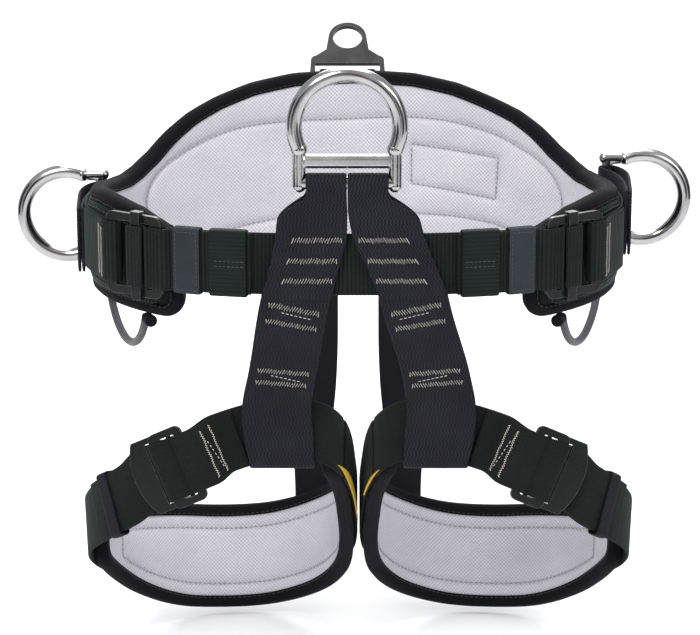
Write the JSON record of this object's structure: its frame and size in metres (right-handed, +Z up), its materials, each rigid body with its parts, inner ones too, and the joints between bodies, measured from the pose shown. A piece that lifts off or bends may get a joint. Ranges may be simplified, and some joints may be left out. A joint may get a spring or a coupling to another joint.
{
  "type": "tree climbing saddle",
  "caption": "Padded waist belt with two padded leg loops, forged front and hip rings, a rear restraint plate and sliding strap adjusters, for work in trees.",
  "frame": {"origin": "middle of the waist opening, at the height of the belt's centre line", "axes": "+Z up, -Y the way the wearer faces, +X to the wearer's left"},
  "size_m": [0.5206, 0.3054, 0.4682],
  "materials": {
    "lining": "pale grey air-mesh lining",
    "foam": "closed-cell foam core, not seen",
    "shell": "black woven outer fabric",
    "leg_shell": "black outer fabric with yellow piping panels",
    "hip_fabric": "very dark green-black coated fabric",
    "binding": "black woven edge tape",
    "webbing": "green-black ribbed webbing",
    "riser_webbing": "near-black navy webbing",
    "keeper": "dark grey elastic",
    "forged_ring": "polished forged light alloy",
    "black_steel": "black coated steel",
    "gear_tube": "dark grey sheathed cord"
  },
  "bodies": {
    "waist": {"waist_pad_lining": "lining", "waist_pad_foam": "foam", "waist_pad_shell": "shell", "waist_pad_binding": "binding", "waist_webbing": "webbing", "front_belt": "webbing", "rear_plate_tab": "webbing", "hip_panel_left": "hip_fabric", "hip_panel_right": "hip_fabric", "waist_buckle_left": "black_steel", "waist_buckle_right": "black_steel", "belt_tail_left": "webbing", "belt_tail_right": "webbing", "side_ring_tab_left": "riser_webbing", "side_ring_tab_right": "riser_webbing", "gear_loop_tabs_left": "binding", "gear_loop_tabs_right": "binding", "riser_yoke_left": "riser_webbing", "riser_yoke_right": "riser_webbing"},
    "front_ring": {"front_ring": "forged_ring"},
    "rear_plate": {"rear_plate": "black_steel"},
    "side_ring_left": {"side_ring_left": "forged_ring"},
    "side_ring_right": {"side_ring_right": "forged_ring"},
    "gear_loop_left": {"gear_loop_left": "gear_tube"},
    "gear_loop_right": {"gear_loop_right": "gear_tube"},
    "waist_slider_left": {"waist_slider_left": "black_steel", "belt_fold_left": "webbing"},
    "waist_slider_right": {"waist_slider_right": "black_steel", "belt_fold_right": "webbing"},
    "outer_keeper_left": {"outer_keeper_left": "keeper"},
    "outer_keeper_right": {"outer_keeper_right": "keeper"},
    "inner_keeper_left": {"inner_keeper_left": "keeper"},
    "inner_keeper_right": {"inner_keeper_right": "keeper"},
    "leg_left": {"riser_left": "riser_webbing", "rear_strap_left": "riser_webbing", "leg_pad_lining_left": "lining", "leg_pad_foam_left": "foam", "leg_pad_shell_left": "leg_shell", "leg_pad_binding_left": "binding", "leg_webbing_left": "webbing", "leg_strap_left": "webbing", "leg_buckle_left": "black_steel", "leg_hook_plate_left": "black_steel", "leg_slider_left": "black_steel", "leg_keeper_left": "keeper"},
    "leg_right": {"riser_right": "riser_webbing", "rear_strap_right": "riser_webbing", "leg_pad_lining_right": "lining", "leg_pad_foam_right": "foam", "leg_pad_shell_right": "leg_shell", "leg_pad_binding_right": "binding", "leg_webbing_right": "webbing", "leg_strap_right": "webbing", "leg_buckle_right": "black_steel", "leg_hook_plate_right": "black_steel", "leg_slider_right": "black_steel", "leg_keeper_right": "keeper"}
  },
  "joints": [
    {"name": "front_ring_tilt", "type": "hinge", "parent": "waist", "child": "front_ring", "pos_m": [-0.005, -0.1256, 0.059], "axis": [1, 0, 0], "range_deg": [-80, 120]},
    {"name": "rear_plate_tilt", "type": "hinge", "parent": "waist", "child": "rear_plate", "pos_m": [-0.005, 0.1305, 0.09], "axis": [-1, 0, 0], "range_deg": [-45, 80]},
    {"name": "side_ring_left_swing", "type": "hinge", "parent": "waist", "child": "side_ring_left", "pos_m": [0.19519, 0.06153, 0.008], "axis": [0, 0, 1], "range_deg": [-42, 80]},
    {"name": "side_ring_right_swing", "type": "hinge", "parent": "waist", "child": "side_ring_right", "pos_m": [-0.19519, 0.06153, -0.005], "axis": [0, 0, -1], "range_deg": [-42, 80]},
    {"name": "gear_loop_left_lift", "type": "hinge", "parent": "waist", "child": "gear_loop_left", "pos_m": [0.168, -0.037, -0.0505], "axis": [-0.3746, -0.9272, 0], "range_deg": [-10, 80]},
    {"name": "gear_loop_right_lift", "type": "hinge", "parent": "waist", "child": "gear_loop_right", "pos_m": [-0.168, -0.037, -0.0505], "axis": [-0.3746, 0.9272, 0], "range_deg": [-10, 80]},
    {"name": "waist_slider_left_slide", "type": "slide", "parent": "waist", "child": "waist_slider_left", "axis": [0.8244, 0.566, 0], "range_m": [-0.0015, 0.0015]},
    {"name": "waist_slider_right_slide", "type": "slide", "parent": "waist", "child": "waist_slider_right", "axis": [-0.8244, 0.566, 0], "range_m": [-0.0015, 0.0015]},
    {"name": "outer_keeper_left_slide", "type": "slide", "parent": "waist", "child": "outer_keeper_left", "axis": [0.9455, 0.3255, 0], "range_m": [-0.002, 0]},
    {"name": "outer_keeper_right_slide", "type": "slide", "parent": "waist", "child": "outer_keeper_right", "axis": [-0.9455, 0.3255, 0], "range_m": [-0.002, 0]},
    {"name": "inner_keeper_left_slide", "type": "slide", "parent": "waist", "child": "inner_keeper_left", "axis": [0.9798, 0.1999, 0], "range_m": [-0.003, 0.003]},
    {"name": "inner_keeper_right_slide", "type": "slide", "parent": "waist", "child": "inner_keeper_right", "axis": [-0.9798, 0.1999, 0], "range_m": [-0.003, 0.003]},
    {"name": "leg_left_swing", "type": "hinge", "parent": "waist", "child": "leg_left", "pos_m": [0.043, -0.1298, -0.027], "axis": [1, 0, 0], "range_deg": [0, 25], "deforming": ["rear_strap_left"]},
    {"name": "leg_right_swing", "type": "hinge", "parent": "waist", "child": "leg_right", "pos_m": [-0.043, -0.1298, -0.027], "axis": [1, 0, 0], "range_deg": [0, 25], "deforming": ["rear_strap_right"]}
  ]
}
